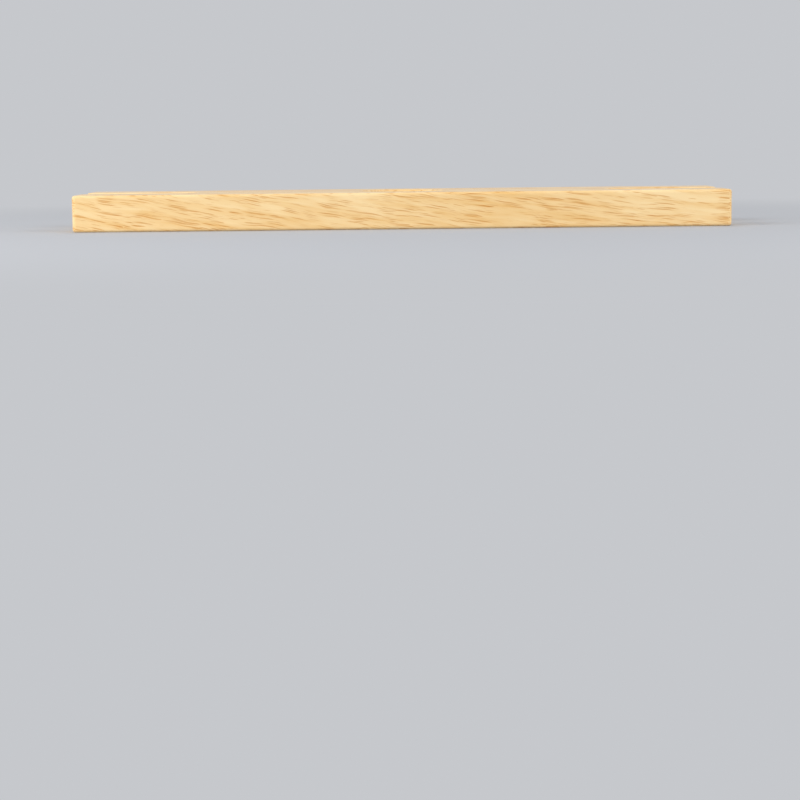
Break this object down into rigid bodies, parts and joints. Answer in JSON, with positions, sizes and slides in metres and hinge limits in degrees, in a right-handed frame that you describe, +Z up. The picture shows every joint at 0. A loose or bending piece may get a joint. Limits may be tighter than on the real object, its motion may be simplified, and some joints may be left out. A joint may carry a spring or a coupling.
{
  "type": "wine glass and bottle holder",
  "caption": "Flat hardwood bar glued from staves, with a central hole that sits over a bottle's neck and an open slot at each end that holds an upturned stem glass.",
  "frame": {"origin": "centre of the underside", "axes": "+X along the bar to its right end, +Y from the front face to the back face, +Z up through the thickness"},
  "size_m": [0.27, 0.065, 0.015],
  "materials": {
    "front_stave_wood": "satin clear lacquer on pale honey rubberwood with short brown pore flecks",
    "middle_stave_wood": "satin clear lacquer on pale honey rubberwood with short brown pore flecks",
    "back_stave_wood": "satin clear lacquer on pale honey rubberwood with short brown pore flecks"
  },
  "bodies": {
    "root": {"front_stave": "front_stave_wood", "middle_stave_left": "middle_stave_wood", "middle_stave_right": "middle_stave_wood", "back_stave": "back_stave_wood"}
  },
  "joints": []
}
